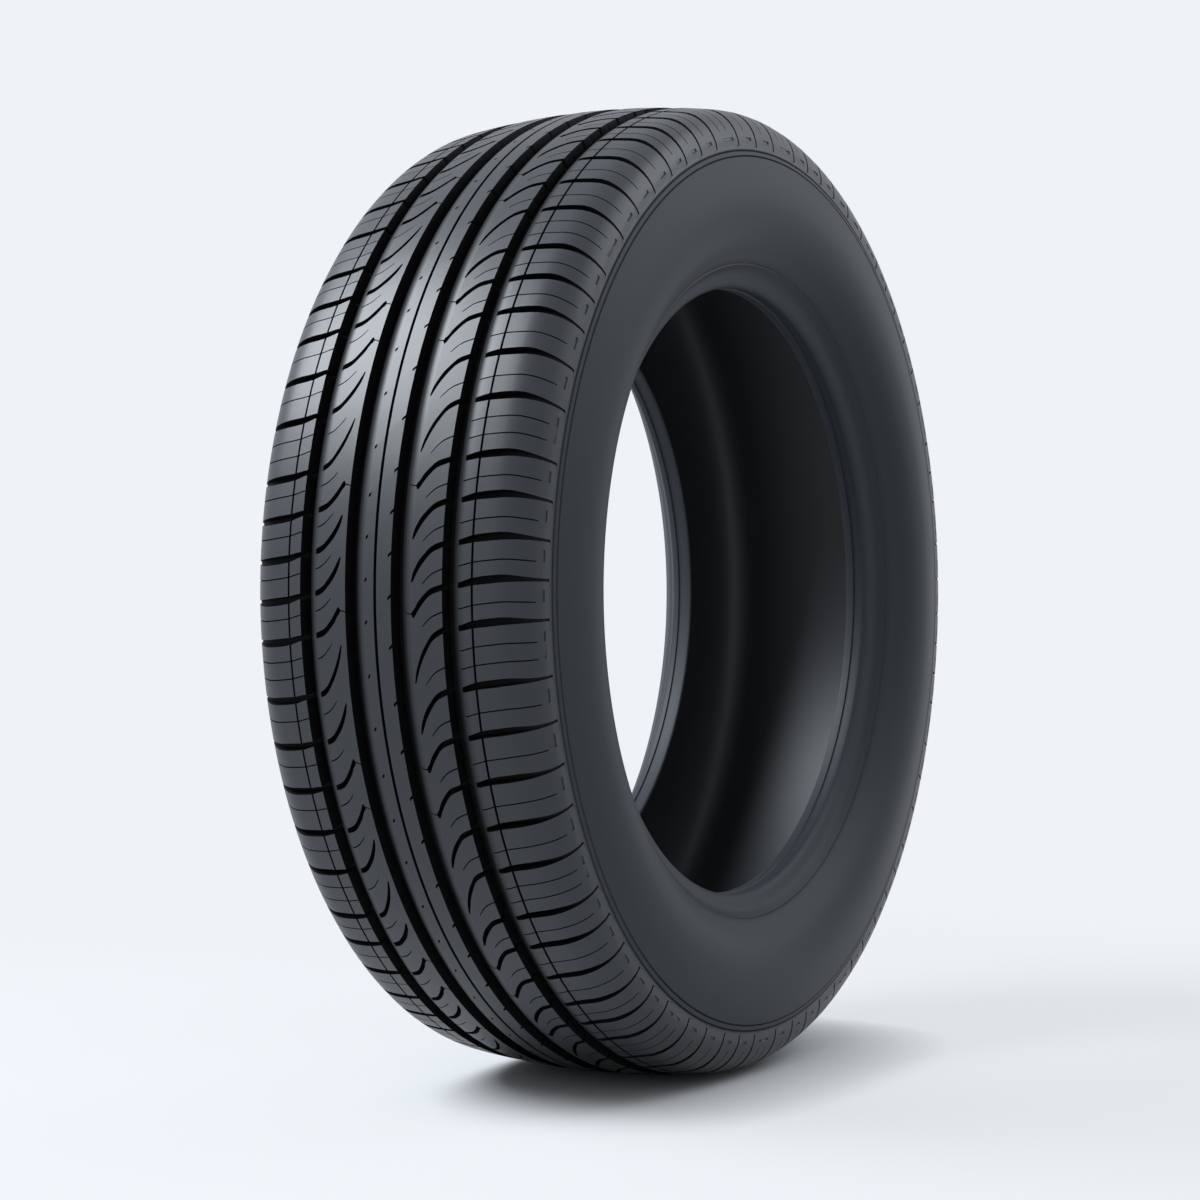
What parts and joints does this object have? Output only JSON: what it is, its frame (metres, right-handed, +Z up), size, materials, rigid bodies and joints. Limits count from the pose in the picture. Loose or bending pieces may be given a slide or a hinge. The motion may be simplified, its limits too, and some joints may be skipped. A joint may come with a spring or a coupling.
{
  "type": "car tyre",
  "caption": "Radial car tyre off its rim, with a grooved and slotted tread, plain sidewalls and two beads that seat on a wheel rim.",
  "frame": {"origin": "centre of the tyre, on the spin axis and in the middle plane of the tread", "axes": "+Z up as the tyre stands, +Y along the spin axis, +X forward in the rolling direction"},
  "size_m": [0.6522, 0.214, 0.6512],
  "materials": {
    "rubber": "matte moulded rubber"
  },
  "bodies": {
    "root": {"tyre": "rubber"}
  },
  "joints": []
}
